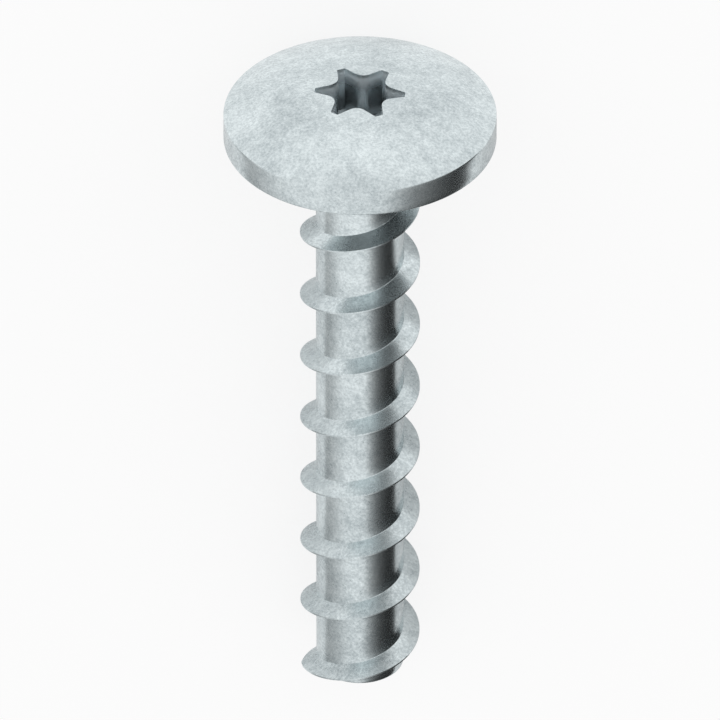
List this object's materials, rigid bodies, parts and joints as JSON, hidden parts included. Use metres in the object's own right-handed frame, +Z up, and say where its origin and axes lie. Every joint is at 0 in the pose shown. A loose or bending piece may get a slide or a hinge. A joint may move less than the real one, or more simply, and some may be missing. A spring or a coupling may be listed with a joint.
{
  "type": "concrete screw",
  "caption": "Zinc-plated steel concrete screw with a wide low domed head, a star-shaped drive socket and a coarse right-hand cutting thread along its shank.",
  "frame": {"origin": "centre of the bearing face under the head, on the screw's axis", "axes": "+Z up from the surface that the screw lies on, +X from the head towards the tip in plan; the screw's axis lies in the XZ plane and falls 7.4 degrees towards the tip, because the screw lies on the edge of its head and a crest of its thread"},
  "size_m": [0.0438, 0.017, 0.0171],
  "materials": {
    "zinc_plate": "zinc plated, satin, with a fine mottled grain"
  },
  "bodies": {
    "root": {"screw": "zinc_plate"}
  },
  "joints": []
}
